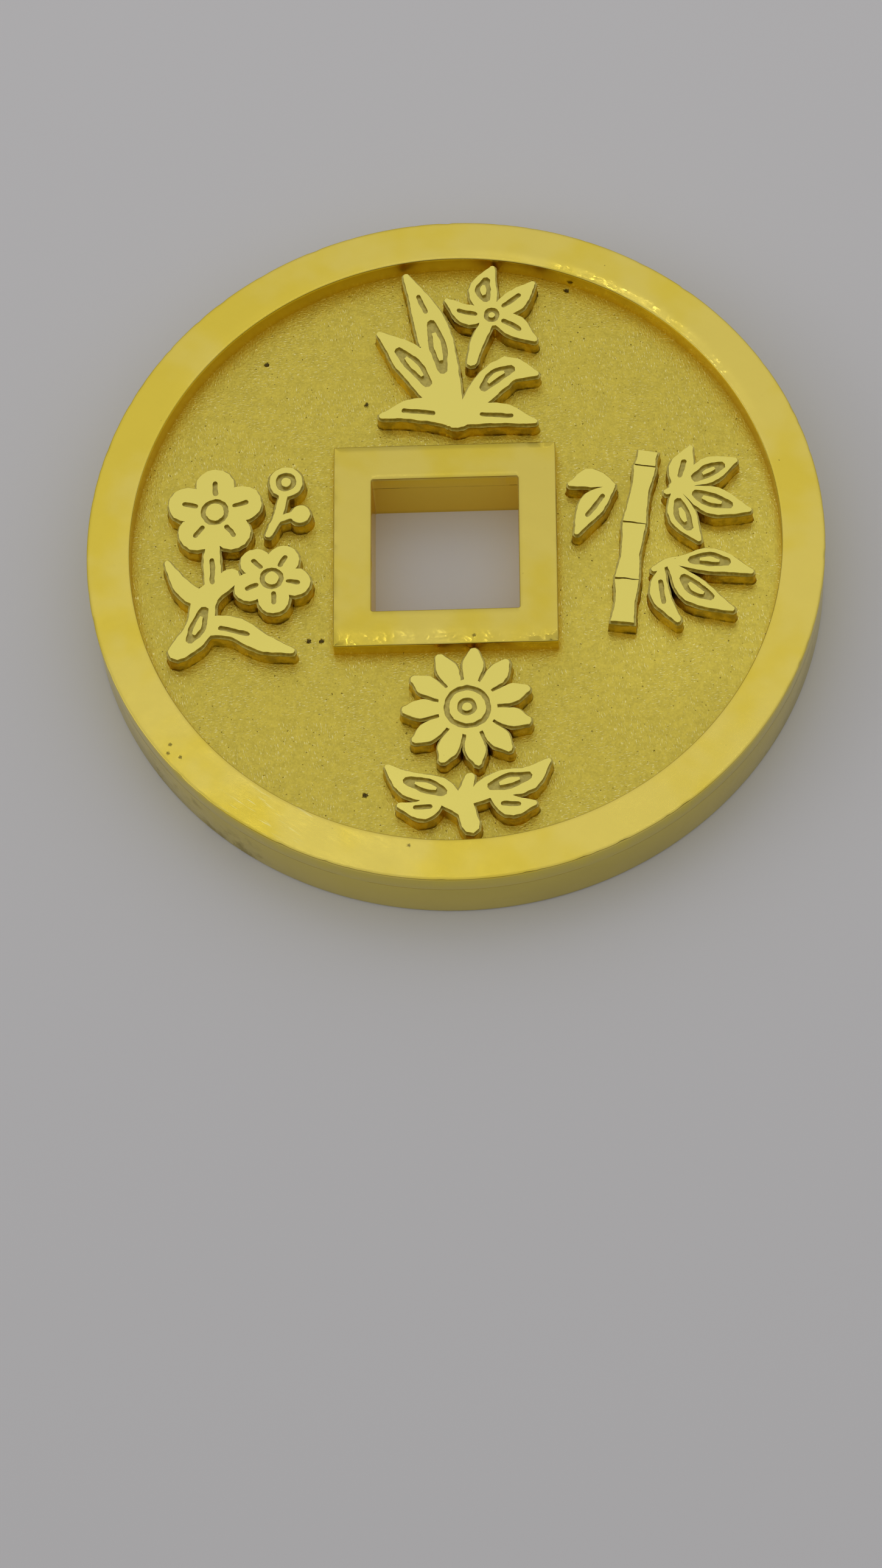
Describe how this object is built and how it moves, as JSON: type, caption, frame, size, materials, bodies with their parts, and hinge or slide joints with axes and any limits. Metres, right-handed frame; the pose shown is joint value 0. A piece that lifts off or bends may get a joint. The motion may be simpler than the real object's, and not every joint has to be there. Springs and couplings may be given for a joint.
{
  "type": "cash coin charm",
  "caption": "Round yellow-gold charm with a square hole, a raised rim and frame, a matt field and raised plant ornaments.",
  "frame": {"origin": "centre of the disc's back face", "axes": "+Z out of the face with the ornaments, +Y towards the top of the face, so the ornaments stand upright"},
  "size_m": [0.03, 0.03, 0.0032],
  "materials": {
    "matt_gold": "high-carat yellow gold, matt and finely sparkling on the field, polished on the edge and back",
    "polished_gold": "high-carat yellow gold, hand polished, with soft waves and fine scratches",
    "lapped_gold": "high-carat yellow gold, lapped flat on top, with engraved lines"
  },
  "bodies": {
    "root": {"base_disc": "matt_gold", "rim_ring": "polished_gold", "square_frame": "polished_gold", "orchid_leaves": "lapped_gold", "orchid_bloom": "lapped_gold", "bamboo_stalk": "lapped_gold", "bamboo_spray": "lapped_gold", "bamboo_shoot": "lapped_gold", "bamboo_leaf": "lapped_gold", "chrysanthemum_bloom": "lapped_gold", "chrysanthemum_stem": "lapped_gold", "plum_branch": "lapped_gold", "plum_bud": "lapped_gold"}
  },
  "joints": []
}
